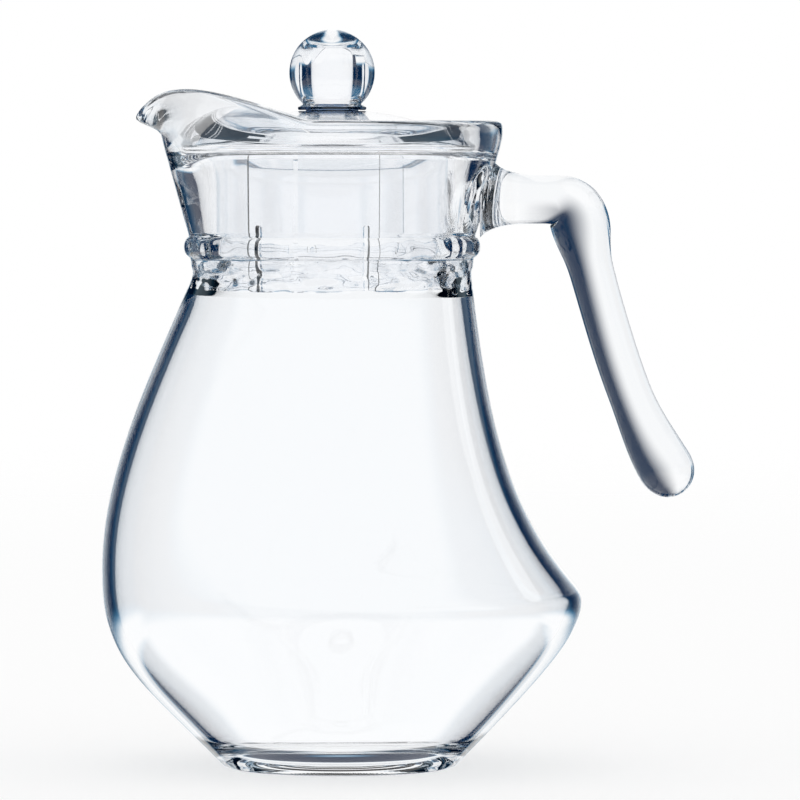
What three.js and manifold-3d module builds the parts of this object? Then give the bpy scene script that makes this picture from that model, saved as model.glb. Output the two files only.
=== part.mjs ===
// Cold water jug: a blown glass jug with a duck-bill spout and an applied handle, closed by a
// clear moulded lid with a ball knob. Millimetres, +Z up. The origin is on the neck's axis at
// the flat foot; the spout points along -X and the handle along +X.
import * as THREE from 'three';
import { mergeVertices } from 'three/addons/utils/BufferGeometryUtils.js';
import Module from 'manifold-3d';

// Foot and bowl
const FOOT_RADIUS = 35; // flat that the jug stands on
const FOOT_OFFSET = 2.3; // the foot's centre, behind the neck's axis
const HEEL_RADIUS = 1.3; // small round between the foot and the bowl
const BELLY_HEIGHT = 60; // widest point on the spout side
const BELLY_REACH = 70.1;
const TAIL_HEIGHT = 51; // soft point on the handle side
const TAIL_REACH = 76;
const TAIL_ABOVE = 3.8; // the tail's round, above and below its point
const TAIL_BELOW = 7.2;
const TAIL_ROUND = 1.7; // how far the tail's point stands out from its round's ends
const BOWL_WALL = 3;
const FLOOR_THICKNESS = 6;

// Pulls of the bowl's outline curves, as shares of each curve's reach and fall
const SHOULDER_PULLS = [[0.66, 0.45], [1, 0.72]];
const BELLY_PULLS = [[0, 0.47], [0.3, 0.56]];
const BACK_PULLS = [[0.15, 0.42], [0.3, 0.74]];
const TUCK_PULLS = [[0.08, 0.21], [0.52, 0.58]];

// Neck, measured upward from the throat where it leaves the bowl
const THROAT_HEIGHT = 149;
const THROAT_RADIUS = 42.3;
const THROAT_WALL = 3.6;
const THROAT_LENGTH = 2.4;
const BAND_WIDTH = 3.4;
const BAND_RELIEF = 0.6;
const BEAD_WIDTH = 6.6;
const BEAD_RELIEF = 2.8;
const BEAD_ARC = 75; // the bead's round, to either side of its middle
const NECK_LENGTH = 29.5; // the flare from the bead up to the lip
const NECK_STEP = 1.3; // the flare starts this far outside the throat
const LIP_RADIUS = 51.8;
const LIP_HEIGHT = 5.4;
const RIM_WALL = 6.2;
const RIM_ROUND = 1.4;
const RIM_FLAT = [0.25, 0.75]; // top of the rim between its rounds, as shares of its wall

// Ledge inside the neck that carries the lid
const LEDGE_DEPTH = 9.3; // below the rim
const LEDGE_WIDTH = 2.1;
const BORE_DRAFT = 1.3; // the bore narrows by this from the rim to the ledge
const CHANNEL_DEPTH = 1.5; // the ledge gives way to a pouring channel under the spout
const CHANNEL_FALL = 3;
const CHANNEL_FLOOR_ANGLE = 20;
const CHANNEL_EDGE_ANGLE = 45;

// Spout, drawn out of the lip; angles are to either side of -X
const SPOUT_REACH = 7.9;
const SPOUT_RISE = 9.4;
const SPOUT_DIP = 7.2; // the pouring edge lies this far below the wings' crests
const SPOUT_WALL = 3.2;
const SPOUT_CREASE = 2.4; // height of the plain lip under the bill
const WING_ANGLE = 82;
const CREST_ANGLE = 30;
const BILL_ANGLE = 17;
const DIP_ANGLE = 12.5;

// Handle, measured from the neck's outside at the arm's height
const ARM_DROP = 23.9; // the arm's middle below the rim
const ARM_LENGTH = 17.8;
const BEND_PULL = 11.8; // the arm's line runs on this far into the bend
const BEND_RISE = 17.4; // the leg's line runs up this far into the bend
const LEG_REACH = 31.8; // where the leg leaves the bend
const LEG_DROP = 20.6;
const LEG_LEAN = 15.4; // degrees off the plumb line
const END_REACH = 55.1; // middle of the rounded end
const END_DROP = 82.1;
const END_LEAN = 32;
const LEG_PULL = 0.38; // shares of the leg's length that keep the leans of its two ends
const END_PULL = 0.3;
const SLIM_SHARE = 0.2; // shares of the leg where the slimming ends and the swelling starts
const SWELL_SHARE = 0.6;
const ARM_THICKNESS = 14.8;
const BEND_THICKNESS = 18.2;
const LEG_THICKNESS = 13.4;
const END_THICKNESS = 17;
const HANDLE_DEPTH = 17;
const ROOT_FLARE = 8.8; // added to the arm where it spreads over the neck
const ROOT_LENGTH = 11;
const ROOT_OVERLAP = 10; // the rod starts this far inside the neck and is cut back to it

// Lid
const SKIRT_CLEARANCE = 1.2; // to the narrowest bore that the skirt passes
const SKIRT_LENGTH = 42.7;
const SKIRT_WALL = 2.1;
const FLANGE_CLEARANCE = 0.8;
const FLANGE_THICKNESS = 2.3;
const FLANGE_ROUND = 0.6;
const DOME_RISE = 10.2;
const DOME_WALL = 2.4;
const SLIT_WIDTH = 1.6;
const SLIT_HEIGHT = 21.1;
const SLIT_ANGLE = 25; // each slit from the middle of its tongue
const PANEL_ANGLE = 31.5; // half of the thinned panel that holds a tongue
const PANEL_RELIEF = 0.5;
const LID_TURN = -9; // as the lid stands in the neck

// Knob
const BALL_RADIUS = 13;
const BALL_NECK_RADIUS = 8.8;
const COLLAR_RADIUS = 10.4;
const COLLAR_HEIGHT = 1.8;
const COLLAR_EDGE = 0.9;
const COLLAR_MARGIN = 0.4; // flat of the dome round the collar
const KNOB_BORE_RADIUS = 6.4;
const KNOB_BORE_RISE = 6.8; // end of the bore, above the ball's centre
const SPIGOT_WALL = 1.6;
const SPIGOT_LENGTH = 3.2;

// Gap where one piece is fitted to another
const FIT_GAP = 0.3;

// Facets
const ROUND_SIDES = 48;
const KNOB_SIDES = 28;
const HANDLE_SIDES = 20;
const OUTLINE_STEPS = 40;

const glass = new THREE.MeshStandardMaterial({ color: 0xe6eff2, roughness: 0.04, metalness: 0 });
const clearPlastic = new THREE.MeshStandardMaterial({ color: 0xeef2f4, roughness: 0.1, metalness: 0 });

// Heights and radii that several pieces share
const bandBottom = THROAT_HEIGHT + THROAT_LENGTH;
const bandTop = bandBottom + BAND_WIDTH;
const neckBottom = bandTop + BEAD_WIDTH;
const lipBottom = neckBottom + NECK_LENGTH;
const rimHeight = lipBottom + LIP_HEIGHT;
const ledgeHeight = rimHeight - LEDGE_DEPTH;
const throatBore = THROAT_RADIUS - THROAT_WALL;
const ledgeOuter = LIP_RADIUS - RIM_WALL - BORE_DRAFT;
const ledgeInner = ledgeOuter - LEDGE_WIDTH;
const flangeBottom = ledgeHeight + FIT_GAP;
const flangeRadius = ledgeOuter - FLANGE_CLEARANCE;
const flangeTop = flangeBottom + FLANGE_THICKNESS;
const skirtRadius = Math.min(throatBore, ledgeInner) - SKIRT_CLEARANCE;
const skirtBore = skirtRadius - SKIRT_WALL;
const skirtBottom = flangeBottom - SKIRT_LENGTH;
const domeRadius = (flangeRadius ** 2 + DOME_RISE ** 2) / (2 * DOME_RISE);
const domeCentre = flangeTop + DOME_RISE - domeRadius;
const seatRadius = COLLAR_RADIUS + COLLAR_MARGIN;
const seatHeight = domeCentre + Math.sqrt(domeRadius ** 2 - seatRadius ** 2);
const spigotRadius = KNOB_BORE_RADIUS + SPIGOT_WALL;

const wasm = await Module();
wasm.setup();

// Evenly spaced values from one end to the other, both included
function steps(from, to, count) {
  return Array.from({ length: count + 1 }, (_, i) => from + ((to - from) * i) / count);
}

function radians(degrees) {
  return THREE.MathUtils.degToRad(degrees);
}

// One watertight skin: shared corners merged, and faces that shrank to a line left out
function closed(geometry) {
  geometry.deleteAttribute('normal');
  geometry.deleteAttribute('uv');
  const merged = mergeVertices(geometry);
  const corners = merged.index.array;
  const faces = [];
  for (let i = 0; i < corners.length; i += 3) {
    const [a, b, c] = corners.slice(i, i + 3);
    if (a !== b && b !== c && c !== a) {
      faces.push(a, b, c);
    }
  }
  merged.setIndex(faces);
  merged.computeVertexNormals();
  return merged;
}

// A skin over rings that all run the same way round; the end rings shrink to points
function skin(rings) {
  const sides = rings[0].length;
  const faces = [];
  for (let i = 0; i + 1 < rings.length; i++) {
    for (let j = 0; j < sides; j++) {
      const a = i * sides + j;
      const b = i * sides + ((j + 1) % sides);
      faces.push(a, b, b + sides, a, b + sides, a + sides);
    }
  }
  const geometry = new THREE.BufferGeometry().setFromPoints(rings.flat());
  return closed(geometry.setIndex(faces));
}

// A profile of [radius, height] points turned about +Z
function turned(profile, sides) {
  const points = profile.map(([radius, height]) => new THREE.Vector2(radius, height));
  return closed(new THREE.LatheGeometry(points, sides).rotateX(Math.PI / 2));
}

function solid(geometry) {
  const vertProperties = new Float32Array(geometry.attributes.position.array);
  const triVerts = new Uint32Array(geometry.index.array);
  return new wasm.Manifold(new wasm.Mesh({ numProp: 3, vertProperties, triVerts }));
}

// A geometry with other geometries cut out of it
function cut(geometry, cutters) {
  const mesh = cutters.reduce((rest, cutter) => rest.subtract(solid(cutter)), solid(geometry)).getMesh();
  const result = new THREE.BufferGeometry();
  result.setAttribute('position', new THREE.BufferAttribute(new Float32Array(mesh.vertProperties), 3));
  result.setIndex(Array.from(mesh.triVerts));
  return closed(result);
}

function ring(pointAt) {
  return steps(0, 2 * Math.PI, ROUND_SIDES).slice(0, -1).map(pointAt);
}

function circle(radius, height, centre = 0) {
  return ring((angle) => {
    return new THREE.Vector3(centre + radius * Math.cos(angle), radius * Math.sin(angle), height);
  });
}

function point([x, y]) {
  return new THREE.Vector2(x, y);
}

// A curve between two points, pulled by shares of its reach and fall
function swept(from, to, pulls) {
  const [first, second] = pulls.map(([across, down]) => new THREE.Vector2(
    THREE.MathUtils.lerp(from[0], to[0], across),
    THREE.MathUtils.lerp(from[1], to[1], down),
  ));
  return new THREE.CubicBezierCurve(point(from), first, second, point(to));
}

// Reach of an outline drawn from the top down, at any height
function outline(...curves) {
  const points = curves.flatMap((curve) => curve.getPoints(OUTLINE_STEPS));
  return (height) => {
    const below = points.findIndex((point) => point.y <= height);
    if (below <= 0) {
      return below === 0 ? points[0].x : points.at(-1).x;
    }
    const upper = points[below - 1];
    const lower = points[below];
    const share = upper.y === lower.y ? 0 : (upper.y - height) / (upper.y - lower.y);
    return upper.x + (lower.x - upper.x) * share;
  };
}

// The bowl's outline on the spout side: one long fall from the throat, then a tuck to the heel
const throat = [THROAT_RADIUS, THROAT_HEIGHT];
const belly = [BELLY_REACH, BELLY_HEIGHT];
const heelFront = [FOOT_RADIUS + HEEL_RADIUS - FOOT_OFFSET, HEEL_RADIUS];
const frontOutline = outline(
  swept(throat, belly, SHOULDER_PULLS),
  swept(belly, heelFront, BELLY_PULLS),
);

// The outline on the handle side: nearly straight, swept out to the tail and back to the heel
const tailTop = [TAIL_REACH - TAIL_ROUND, TAIL_HEIGHT + TAIL_ABOVE];
const tailPoint = [TAIL_REACH + TAIL_ROUND, TAIL_HEIGHT];
const tailBottom = [TAIL_REACH - TAIL_ROUND, TAIL_HEIGHT - TAIL_BELOW];
const heelBack = [FOOT_RADIUS + HEEL_RADIUS + FOOT_OFFSET, HEEL_RADIUS];
const backOutline = outline(
  swept(throat, tailTop, BACK_PULLS),
  new THREE.QuadraticBezierCurve(point(tailTop), point(tailPoint), point(tailBottom)),
  swept(tailBottom, heelBack, TUCK_PULLS),
);

// The bowl's level sections are circles between the two outlines. A depth moves the ring
// square into the wall, so that the wall keeps its thickness on the slopes.
function bowlRing(height, depth) {
  const radiusAt = (z) => (backOutline(z) + frontOutline(z)) / 2;
  const centreAt = (z) => (backOutline(z) - frontOutline(z)) / 2;
  const reachStep = 1;
  const slope = (at) => (at(height + reachStep) - at(height - reachStep)) / (2 * reachStep);
  const radius = radiusAt(height);
  const centre = centreAt(height);
  const radiusSlope = slope(radiusAt);
  const centreSlope = slope(centreAt);
  return ring((angle) => {
    const lean = radiusSlope + centreSlope * Math.cos(angle);
    const inward = depth / Math.hypot(1, lean);
    return new THREE.Vector3(
      centre + (radius - inward) * Math.cos(angle),
      (radius - inward) * Math.sin(angle),
      height + inward * lean,
    );
  });
}

const bowlHeights = [
  ...steps(HEEL_RADIUS, tailBottom[1], 8),
  ...steps(tailBottom[1], tailTop[1], 4).slice(1),
  ...steps(tailTop[1], THROAT_HEIGHT, 11).slice(1),
];

// The neck's outside, from the throat to the foot of the lip, moved out by a gap where asked
function neckOutline(gap) {
  const band = THROAT_RADIUS + BAND_RELIEF;
  const beadMiddle = (bandTop + neckBottom) / 2;
  const bead = steps(-BEAD_ARC, BEAD_ARC, 6).map((degrees) => [
    band + (BEAD_RELIEF - BAND_RELIEF) * Math.cos(radians(degrees)),
    beadMiddle + (BEAD_WIDTH / 2) * Math.sin(radians(degrees)),
  ]);
  const profile = [
    [band, bandBottom],
    [band, bandTop],
    ...bead,
    [THROAT_RADIUS + NECK_STEP, neckBottom],
    [LIP_RADIUS, lipBottom],
  ];
  return profile.map(([radius, height]) => [radius + gap, height]);
}

// Radius of the flare's outside at a height on it
function flareRadius(height) {
  const share = (height - neckBottom) / NECK_LENGTH;
  return THREE.MathUtils.lerp(THROAT_RADIUS + NECK_STEP, LIP_RADIUS, share);
}

// Angle from the spout's direction
function fromSpout(angle) {
  return Math.abs(Math.PI - angle);
}

// How far the lip is drawn into the spout's wings: 0 on the plain rim, 1 at the crests
function wing(angle) {
  const share = (radians(WING_ANGLE) - fromSpout(angle)) / radians(WING_ANGLE - CREST_ANGLE);
  return Math.sin((Math.PI / 2) * THREE.MathUtils.clamp(share, 0, 1));
}

function bump(angle, spread) {
  return Math.exp(-((fromSpout(angle) / radians(spread)) ** 2));
}

function channel(angle) {
  return 1 - THREE.MathUtils.smoothstep(
    fromSpout(angle),
    radians(CHANNEL_FLOOR_ANGLE),
    radians(CHANNEL_EDGE_ANGLE),
  );
}

// A ring along the rim: a share of the rim's wall in from its outer edge, and a drop from its top
function rimRing(share, drop) {
  return ring((angle) => {
    const wall = THREE.MathUtils.lerp(RIM_WALL, SPOUT_WALL, wing(angle));
    const radius = LIP_RADIUS + SPOUT_REACH * bump(angle, BILL_ANGLE) - share * wall;
    const top = rimHeight + SPOUT_RISE * wing(angle) - SPOUT_DIP * bump(angle, DIP_ANGLE);
    return new THREE.Vector3(radius * Math.cos(angle), radius * Math.sin(angle), top - drop);
  });
}

function ledgeRing(radius, channelDepth, channelFall) {
  return ring((angle) => {
    const reach = radius + channelDepth * channel(angle);
    const height = ledgeHeight - channelFall * channel(angle);
    return new THREE.Vector3(reach * Math.cos(angle), reach * Math.sin(angle), height);
  });
}

function jugBody() {
  const outside = [
    circle(0, 0, FOOT_OFFSET),
    circle(FOOT_RADIUS, 0, FOOT_OFFSET),
    ...bowlHeights.map((height) => bowlRing(height, 0)),
    ...neckOutline(0).map(([radius, height]) => circle(radius, height)),
    circle(LIP_RADIUS, lipBottom + SPOUT_CREASE),
  ];
  const rim = [
    rimRing(0, RIM_ROUND),
    ...RIM_FLAT.map((share) => rimRing(share, 0)),
    rimRing(1, RIM_ROUND),
  ];
  const neckInside = [
    ledgeRing(ledgeOuter, CHANNEL_DEPTH, 0),
    ledgeRing(ledgeInner, 0, CHANNEL_FALL),
    circle(throatBore, neckBottom),
    circle(throatBore, bandBottom),
  ];
  const innerHeights = bowlHeights.slice(0, -1).filter((height) => height > FLOOR_THICKNESS).reverse();
  const bowlInside = [
    ...innerHeights.map((height) => bowlRing(height, BOWL_WALL)),
    circle(FOOT_RADIUS - BOWL_WALL, FLOOR_THICKNESS, FOOT_OFFSET),
    circle(0, FLOOR_THICKNESS, FOOT_OFFSET),
  ];
  return skin([...outside, ...rim, ...neckInside, ...bowlInside]);
}

// The rod's middle line in the XZ plane: level arm, bend, leaning leg and rounded end
const armHeight = rimHeight - ARM_DROP;
const rootReach = flareRadius(armHeight);

function handlePath() {
  const place = (reach, drop) => new THREE.Vector2(rootReach + reach, armHeight - drop);
  const fall = (degrees) => new THREE.Vector2(Math.sin(radians(degrees)), -Math.cos(radians(degrees)));
  const armEnd = place(ARM_LENGTH, 0);
  const legTop = place(LEG_REACH, LEG_DROP);
  const end = place(END_REACH, END_DROP);
  const legFall = fall(LEG_LEAN);
  const endFall = fall(END_LEAN);
  const legLength = legTop.distanceTo(end);
  const tip = end.clone().addScaledVector(endFall, END_THICKNESS / 2);
  const path = new THREE.CurvePath();
  path.add(new THREE.LineCurve(place(-ROOT_OVERLAP, 0), armEnd));
  path.add(new THREE.CubicBezierCurve(
    armEnd,
    place(ARM_LENGTH + BEND_PULL, 0),
    legTop.clone().addScaledVector(legFall, -BEND_RISE),
    legTop,
  ));
  path.add(new THREE.CubicBezierCurve(
    legTop,
    legTop.clone().addScaledVector(legFall, LEG_PULL * legLength),
    end.clone().addScaledVector(endFall, -END_PULL * legLength),
    end,
  ));
  path.add(new THREE.LineCurve(end, tip));
  return path;
}

function handleRings() {
  const path = handlePath();
  const [arm, bend, leg, cap] = path.curves.map((curve) => curve.getLength());
  const length = arm + bend + leg + cap;
  const legStart = arm + bend;
  const along = [
    ...steps(0, ROOT_OVERLAP + ROOT_LENGTH, 7),
    ...steps(ROOT_OVERLAP + ROOT_LENGTH, legStart, 8).slice(1),
    ...steps(legStart, legStart + leg, 10).slice(1),
    ...steps(0, 90, 5).slice(1).map((degrees) => legStart + leg + cap * Math.sin(radians(degrees))),
  ];
  const section = (distance) => {
    const share = Math.min(distance / length, 1);
    const middle = path.getPointAt(share);
    const ahead = path.getTangentAt(share);
    const root = Math.max(0, 1 - Math.max(0, distance - ROOT_OVERLAP) / ROOT_LENGTH) ** 2;
    const slim = THREE.MathUtils.smoothstep(distance, arm, legStart + SLIM_SHARE * leg);
    const swell = THREE.MathUtils.smoothstep(distance, legStart + SWELL_SHARE * leg, legStart + leg);
    const turn = Math.sin(Math.PI * THREE.MathUtils.clamp((distance - arm) / bend, 0, 1)) ** 2;
    const rod = THREE.MathUtils.lerp(ARM_THICKNESS, LEG_THICKNESS, slim);
    const bulk = THREE.MathUtils.lerp(rod, BEND_THICKNESS, turn) + ROOT_FLARE * root;
    const capShare = Math.max(0, distance - legStart - leg) / cap;
    const round = Math.sqrt(Math.max(0, 1 - capShare ** 2));
    const thickness = THREE.MathUtils.lerp(bulk, END_THICKNESS, swell) * round;
    const depth = THREE.MathUtils.lerp(HANDLE_DEPTH + ROOT_FLARE * root, END_THICKNESS, swell) * round;
    return steps(0, 2 * Math.PI, HANDLE_SIDES).slice(0, -1).map((angle) => {
      const across = (thickness / 2) * Math.cos(angle);
      return new THREE.Vector3(
        middle.x - ahead.y * across,
        (-depth / 2) * Math.sin(angle),
        middle.y + ahead.x * across,
      );
    });
  };
  const rings = along.map(section);
  const start = new THREE.Vector3(rootReach - ROOT_OVERLAP, 0, armHeight);
  return [rings[0].map(() => start), ...rings];
}

// The rod is cut back to the neck that it is applied to
function handle() {
  const neck = turned(
    [
      [0, THROAT_HEIGHT],
      [THROAT_RADIUS + FIT_GAP, THROAT_HEIGHT],
      ...neckOutline(FIT_GAP),
      [LIP_RADIUS + FIT_GAP, rimHeight],
      [0, rimHeight],
    ],
    ROUND_SIDES,
  );
  return cut(skin(handleRings()), [neck]);
}

// An arc of a dome about the axis, as [radius, height] points between two radii
function domeArc(radius, from, to, count) {
  return steps(Math.asin(from / radius), Math.asin(to / radius), count).map((angle) => [
    radius * Math.sin(angle),
    domeCentre + radius * Math.cos(angle),
  ]);
}

// A slit with a round top, standing on the lid's lower edge and running out along +X
function slit(angle) {
  const half = SLIT_WIDTH / 2;
  const shape = new THREE.Shape();
  shape.moveTo(half, -FIT_GAP);
  shape.lineTo(half, SLIT_HEIGHT - half);
  shape.absarc(0, SLIT_HEIGHT - half, half, 0, Math.PI, false);
  shape.lineTo(-half, -FIT_GAP);
  const blade = new THREE.ExtrudeGeometry(shape, {
    depth: 2 * SKIRT_WALL + SKIRT_CLEARANCE,
    bevelEnabled: false,
    curveSegments: 6,
  });
  blade.rotateX(Math.PI / 2).rotateZ(Math.PI / 2);
  blade.translate(skirtBore - SKIRT_WALL, 0, skirtBottom);
  return closed(blade.rotateZ(angle));
}

// The pocket that thins the skirt round a tongue, from its lower edge up to the flange
function panel(angle) {
  const half = radians(PANEL_ANGLE);
  const shape = new THREE.Shape();
  shape.absarc(0, 0, skirtBore + PANEL_RELIEF, angle - half, angle + half, false);
  shape.absarc(0, 0, skirtBore - PANEL_RELIEF, angle + half, angle - half, true);
  const block = new THREE.ExtrudeGeometry(shape, {
    depth: SKIRT_LENGTH + FIT_GAP,
    bevelEnabled: false,
    curveSegments: 10,
  });
  return closed(block.translate(0, 0, skirtBottom - FIT_GAP));
}

function lidCover() {
  const holeRadius = spigotRadius + FIT_GAP;
  const shell = turned(
    [
      [skirtRadius, skirtBottom],
      [skirtRadius, flangeBottom],
      [flangeRadius - FLANGE_ROUND, flangeBottom],
      [flangeRadius, flangeBottom + FLANGE_ROUND],
      ...domeArc(domeRadius, flangeRadius, seatRadius, 8),
      [holeRadius, seatHeight],
      ...domeArc(domeRadius - DOME_WALL, holeRadius, skirtBore, 7),
      [skirtBore, skirtBottom],
      [skirtRadius, skirtBottom],
    ],
    ROUND_SIDES,
  );
  const tongues = [-Math.PI / 2, Math.PI / 2];
  const panels = tongues.map(panel);
  const slits = tongues.flatMap((middle) => {
    return [-1, 1].map((side) => slit(middle + side * radians(SLIT_ANGLE)));
  });
  return cut(shell, [...panels, ...slits]);
}

function lidKnob() {
  const collarBottom = seatHeight + FIT_GAP;
  const collarTop = collarBottom + COLLAR_HEIGHT;
  const spigotBottom = collarBottom - SPIGOT_LENGTH;
  const ballCentre = collarTop + Math.sqrt(BALL_RADIUS ** 2 - BALL_NECK_RADIUS ** 2);
  const boreEnd = ballCentre + KNOB_BORE_RISE;
  const ball = steps(Math.asin(BALL_NECK_RADIUS / BALL_RADIUS), Math.PI, 14).map((angle) => [
    BALL_RADIUS * Math.sin(angle),
    ballCentre - BALL_RADIUS * Math.cos(angle),
  ]);
  return turned(
    [
      [0, boreEnd],
      [KNOB_BORE_RADIUS, boreEnd],
      [KNOB_BORE_RADIUS, spigotBottom],
      [spigotRadius, spigotBottom],
      [spigotRadius, collarBottom],
      [COLLAR_RADIUS, collarBottom],
      [COLLAR_RADIUS, collarBottom + COLLAR_EDGE],
      ...ball.slice(0, -1),
      [0, ballCentre + BALL_RADIUS],
    ],
    KNOB_SIDES,
  );
}

function piece(name, geometry, material) {
  const mesh = new THREE.Mesh(geometry, material);
  mesh.name = name;
  return mesh;
}

const lid = new THREE.Group();
lid.rotation.z = radians(LID_TURN);
lid.add(piece('lid_cover', lidCover(), clearPlastic));
lid.add(piece('lid_knob', lidKnob(), clearPlastic));

const jug = new THREE.Group();
jug.add(piece('jug_body', jugBody(), glass));
jug.add(piece('handle', handle(), glass));
jug.add(lid);

export default jug;
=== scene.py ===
"""Cold water jug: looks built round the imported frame, laid out as an add-on and run as a script."""

import math

import bmesh
import bpy
from bpy.props import FloatProperty, FloatVectorProperty, IntProperty, PointerProperty
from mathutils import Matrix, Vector
from mathutils.geometry import interpolate_bezier


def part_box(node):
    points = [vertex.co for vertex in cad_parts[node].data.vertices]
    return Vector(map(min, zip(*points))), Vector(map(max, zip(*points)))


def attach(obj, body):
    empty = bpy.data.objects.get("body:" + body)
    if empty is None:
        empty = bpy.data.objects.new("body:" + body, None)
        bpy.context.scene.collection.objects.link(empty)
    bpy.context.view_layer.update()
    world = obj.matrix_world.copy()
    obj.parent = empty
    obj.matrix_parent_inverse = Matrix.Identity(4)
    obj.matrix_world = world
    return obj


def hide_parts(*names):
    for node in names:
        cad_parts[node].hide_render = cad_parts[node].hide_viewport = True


bl_info = {
    "name": "Cold Water Jug",
    "version": (1, 0, 0),
    "blender": (4, 5, 0),
    "location": "View3D > Sidebar > Jug",
    "description": "Models a lidded glass jug and its photo stage round a fixed frame",
    "category": "Object",
}

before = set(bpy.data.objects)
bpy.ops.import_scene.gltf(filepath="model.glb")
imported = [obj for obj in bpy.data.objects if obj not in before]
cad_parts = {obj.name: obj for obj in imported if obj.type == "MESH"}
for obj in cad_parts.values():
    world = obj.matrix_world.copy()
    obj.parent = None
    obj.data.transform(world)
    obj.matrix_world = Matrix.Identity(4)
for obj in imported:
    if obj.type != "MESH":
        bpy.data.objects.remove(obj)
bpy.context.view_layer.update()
LID_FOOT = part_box("lid_cover")[0][2]

# Pulls of the bowl's outline curves, as shares of the way across and down between their ends.
SHOULDER_PULLS = ((0.66, 0.45), (1.0, 0.72))
BELLY_PULLS = ((0.0, 0.47), (0.3, 0.56))
BACK_PULLS = ((0.15, 0.42), (0.3, 0.74))
TAIL_PULLS = ((0.08, 0.21), (0.52, 0.58))
TAIL_PULL = 2 / 3
TAIL_SHARPNESS = 0.0017
CURVE_POINTS = 60

# Rings of the vessel: from the heel to the tail, round the tail, and on to the throat.
BOWL_RINGS = (12, 6, 18)
FOOT_SHARES = (0.02, 0.5, 0.93, 1)
FLOOR_SHARES = (0.97, 0.92, 0.84, 0.72, 0.5, 0.02)
FLOOR_CURL = 5
TAPER_SHARES = (0.3, 0.4, 0.5, 0.6, 0.7, 0.8, 0.9, 0.98)
# The rim's edge: share of its wall in from the outside, and rim rounds below its top.
RIM_EDGE = ((0, 2), (0, 1), (0.08, 0.3), (0.3, 0), (0.7, 0), (0.92, 0.3), (1, 1), (1, 2))
BEAD_DEGREES = 75
BEAD_STEPS = 8
FLARE_STEPS = 6
BAND_EDGE = 0.1
LEDGE_EDGE = 0.2

# Rings of the handle, which crowd together at its root.
ARM_RINGS = 18
BEND_RINGS = 18
LEG_RINGS = 26
ROD_SIDES = 48
ROOT_CROWDING = 1.8
LEG_PULLS = (0.38, 0.3)
LEG_SLIM_END = 0.2
LEG_SWELL_START = 0.6
CAP_DEGREES = (20, 40, 58, 74, 85)

# Moulded pieces.
LID_ROUND = 0.0004
KNOB_ROUND = 0.0003
EDGE_HOLD = 0.0003
LONG_STRAIGHT = 10
OUTER_DOME_STEPS = 16
INNER_DOME_STEPS = 14
BALL_STEPS = 36
POLE_SHARE = 0.02
BALL_TOP = 0.99 * math.pi
COLLAR_SHOULDER = 0.6
BLADE_SIDES = 24
BLADE_REACH = 4
PANEL_STEPS = 32
PANEL_TIP = 0.1
SHARP_EDGE = math.radians(40)
SAME_PLACE = 1e-6

# Finishes.
DRIFT_SCALE = 900.0
WAVE_STRENGTH = 0.35
SHADOW_TINT = (0.93, 0.95, 0.96, 1.0)
# Painted shade at the knob's joint: its dark colour, how far down the spigot the ring reaches, and
# how wide it is.
PAINTED_JOINT_SHADE = (0.02, 0.04, 0.09, 1.0)
PAINTED_SHADE_DEPTH = 0.75
PAINTED_SHADE_SPREAD = 1.05
LUMP_FLATNESS = 2.0
LUMP_FADE = 0.002
LUMP_WALL_SHARE = 0.3
BEAD_LUMPS = 0.3
FLOOR_TONE = (0.95, 0.95, 0.95, 1.0)
FLOOR_GLOW = 0.55
FLOOR_FADE = (0.3, 0.9)
WHITE = (1.0, 1.0, 1.0, 1.0)

# Dark card behind the handle: its rectangle, and where its edge above the arm begins.
CARD_ACROSS = (0.055, 0.17)
CARD_HEIGHT = (0.06, 0.215)
CARD_ARM_START = (0.055, 0.085)
CARD_ARM_SOFT = 0.6

# Surfaces that a ray has crossed: none, one piece at most, or both the neck and the lid.
OUTER_CROSSINGS = 0.5
PIECE_CROSSINGS = 2.5
NECK_CROSSINGS = 6.5

# Bright field that the clear pieces see. Each pair is a soft edge by direction, dark to light.
PANEL_COUNT = 8.0
PANEL_EDGE = (-0.85, 0.75)
SWEEP_EDGE = (0.57, 0.64)
NECK_SWEEP_EDGE = (0.8, 0.92)
TOP_EDGE = (0.97, 0.85)
NECK_TOP_EDGE = (0.7, 0.45)
TABLE_EDGE = (0.02, -0.2)
NECK_TABLE_EDGE = (-0.6, -0.4)
WALL_LIGHT = 0.6
MIRROR_LIFT = 0.85
BACKDROP_EDGE = (0.955, 0.99)
RISING_SIDE = (0.97, 0.995)
RISING_FOOT = (0.02, 0.1)
LOW_FRONT_TOP = (-0.15, -0.35)
LOW_FRONT_BACK = (0.6, 0.45)
LOW_BACK_TOP = (-0.12, -0.25)
LOW_BACK_FOOT = (-0.42, -0.36)
LOW_BACK_FRONT = (0.3, 0.5)
HIGH_FOOT = (0.25, 0.5)
HIGH_LIGHT = 0.25
SIDE_FRONT = (0.35, 0.6)
SIDE_BACK = (0.85, 0.75)
SIDE_LIGHT = 0.62
FRONT_EDGE = (-0.4, -0.75)
FRONT_LIGHT = (0.3, 0.8)
OVERHEAD_FOOT = (0.05, 0.3)
OVERHEAD_BACK = (0.1, -0.2)
OVERHEAD_LIGHT = 0.8
DEEP_STOP = 0.3
HALF_STOP = 0.62


def length(name, description, default):
    """A size in metres."""
    return FloatProperty(
        name=name, description=description, default=default, unit="LENGTH", precision=5
    )


def angle(name, description, degrees):
    """An angle, kept in radians."""
    return FloatProperty(
        name=name, description=description, default=math.radians(degrees), subtype="ANGLE"
    )


def amount(name, description, default):
    """A plain number."""
    return FloatProperty(name=name, description=description, default=default, precision=4)


def colour(name, description, default):
    """A linear colour."""
    return FloatVectorProperty(
        name=name, description=description, default=default,
        subtype="COLOR", size=3, min=0.0, max=1.0,
    )


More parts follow.
